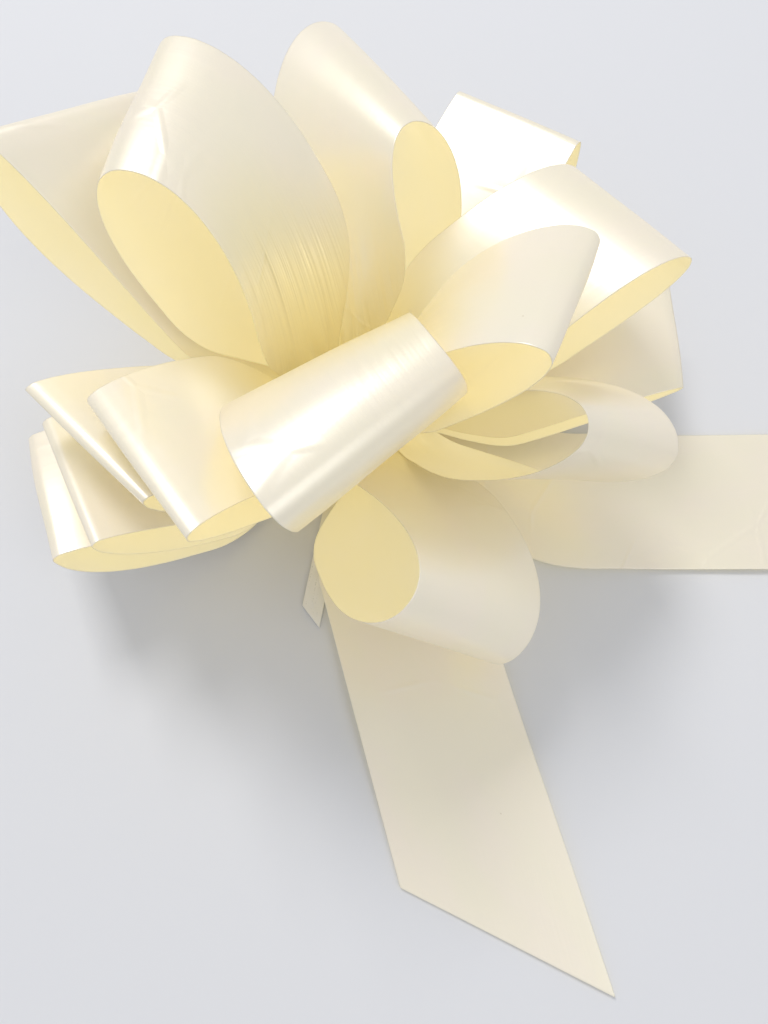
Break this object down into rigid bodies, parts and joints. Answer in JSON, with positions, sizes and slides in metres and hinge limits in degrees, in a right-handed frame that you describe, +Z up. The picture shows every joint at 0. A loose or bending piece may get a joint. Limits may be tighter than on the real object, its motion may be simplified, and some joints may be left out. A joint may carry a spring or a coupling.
{
  "type": "gift bow",
  "caption": "Ready-made pull bow of pearly ivory ribbon film, gathered on its pull strings, with fluffed loops and long flat tails, for the top of a wrapped gift.",
  "frame": {"origin": "centre of the underside of the base weld, which rests on the table or the gift", "axes": "+Z up along the pull strings, away from the gift; the side tail lies along +X and the lower tail runs out on the -Y side"},
  "size_m": [0.298, 0.2901, 0.1102],
  "materials": {
    "front_ribbon": "pearly satin",
    "back_ribbon": "pearly satin",
    "welded_film": "pressed film",
    "pull_string": "satin"
  },
  "bodies": {
    "column": {"weld_01": "welded_film", "weld_02": "welded_film", "weld_03": "welded_film", "weld_04": "welded_film", "weld_05": "welded_film", "weld_06": "welded_film", "weld_07": "welded_film", "weld_08": "welded_film", "weld_09": "welded_film", "outer_pull_string": "pull_string", "inner_pull_string": "pull_string", "outer_string_end": "pull_string", "inner_string_end": "pull_string"},
    "front_loop_1": {"front_loop_1": "front_ribbon"},
    "back_loop_1": {"back_loop_1": "back_ribbon"},
    "front_loop_2": {"front_loop_2": "front_ribbon"},
    "back_loop_2": {"back_loop_2": "back_ribbon"},
    "front_loop_3": {"front_loop_3": "front_ribbon"},
    "back_loop_3": {"back_loop_3": "back_ribbon"},
    "front_loop_4": {"front_loop_4": "front_ribbon"},
    "back_loop_4": {"back_loop_4": "back_ribbon"},
    "front_loop_5": {"front_loop_5": "front_ribbon"},
    "back_loop_5": {"back_loop_5": "back_ribbon"},
    "front_loop_6": {"front_loop_6": "front_ribbon"},
    "back_loop_6": {"back_loop_6": "back_ribbon"},
    "front_loop_7": {"front_loop_7": "front_ribbon"},
    "back_loop_7": {"back_loop_7": "back_ribbon"},
    "front_loop_8": {"front_loop_8": "front_ribbon"},
    "lower_tail": {"back_lower_tail": "back_ribbon", "front_lower_tail": "front_ribbon"},
    "side_tail": {"back_side_tail": "back_ribbon", "front_side_tail": "front_ribbon"}
  },
  "joints": [
    {"name": "front_loop_1_swivel", "type": "hinge", "parent": "column", "child": "front_loop_1", "pos_m": [0, 0, 0.0043], "axis": [0, 0, 1], "range_deg": [-2, 2]},
    {"name": "back_loop_1_swivel", "type": "hinge", "parent": "column", "child": "back_loop_1", "pos_m": [0, 0, 0.0043], "axis": [0, 0, 1], "range_deg": [-3, 3]},
    {"name": "front_loop_2_swivel", "type": "hinge", "parent": "column", "child": "front_loop_2", "pos_m": [0, 0, 0.0073], "axis": [0, 0, 1], "range_deg": [-4, 4]},
    {"name": "back_loop_2_swivel", "type": "hinge", "parent": "column", "child": "back_loop_2", "pos_m": [0, 0, 0.0073], "axis": [0, 0, 1], "range_deg": [-2, 2]},
    {"name": "front_loop_3_swivel", "type": "hinge", "parent": "column", "child": "front_loop_3", "pos_m": [0, 0, 0.0103], "axis": [0, 0, 1], "range_deg": [-2, 2]},
    {"name": "back_loop_3_swivel", "type": "hinge", "parent": "column", "child": "back_loop_3", "pos_m": [0, 0, 0.0103], "axis": [0, 0, 1], "range_deg": [-3, 3]},
    {"name": "front_loop_4_swivel", "type": "hinge", "parent": "column", "child": "front_loop_4", "pos_m": [0, 0, 0.0133], "axis": [0, 0, 1], "range_deg": [-2, 2]},
    {"name": "back_loop_4_swivel", "type": "hinge", "parent": "column", "child": "back_loop_4", "pos_m": [0, 0, 0.0133], "axis": [0, 0, 1], "range_deg": [-2, 2]},
    {"name": "front_loop_5_swivel", "type": "hinge", "parent": "column", "child": "front_loop_5", "pos_m": [0, 0, 0.0163], "axis": [0, 0, 1], "range_deg": [-2, 2]},
    {"name": "back_loop_5_swivel", "type": "hinge", "parent": "column", "child": "back_loop_5", "pos_m": [0, 0, 0.0163], "axis": [0, 0, 1], "range_deg": [-2, 2]},
    {"name": "front_loop_6_swivel", "type": "hinge", "parent": "column", "child": "front_loop_6", "pos_m": [0, 0, 0.0193], "axis": [0, 0, 1], "range_deg": [-2, 2]},
    {"name": "back_loop_6_swivel", "type": "hinge", "parent": "column", "child": "back_loop_6", "pos_m": [0, 0, 0.0193], "axis": [0, 0, 1], "range_deg": [-4, 4]},
    {"name": "front_loop_7_swivel", "type": "hinge", "parent": "column", "child": "front_loop_7", "pos_m": [0, 0, 0.0223], "axis": [0, 0, 1], "range_deg": [-5, 5]},
    {"name": "back_loop_7_swivel", "type": "hinge", "parent": "column", "child": "back_loop_7", "pos_m": [0, 0, 0.0223], "axis": [0, 0, 1], "range_deg": [-2, 2]},
    {"name": "front_loop_8_swivel", "type": "hinge", "parent": "column", "child": "front_loop_8", "pos_m": [0, 0, 0.0253], "axis": [0, 0, 1], "range_deg": [-4, 4]},
    {"name": "lower_tail_swivel", "type": "hinge", "parent": "column", "child": "lower_tail", "pos_m": [0, 0, 0.0029], "axis": [0, 0, 1], "range_deg": [-6, 6]},
    {"name": "side_tail_swivel", "type": "hinge", "parent": "column", "child": "side_tail", "pos_m": [0, 0, 0.0029], "axis": [0, 0, 1], "range_deg": [-6, 6]}
  ]
}
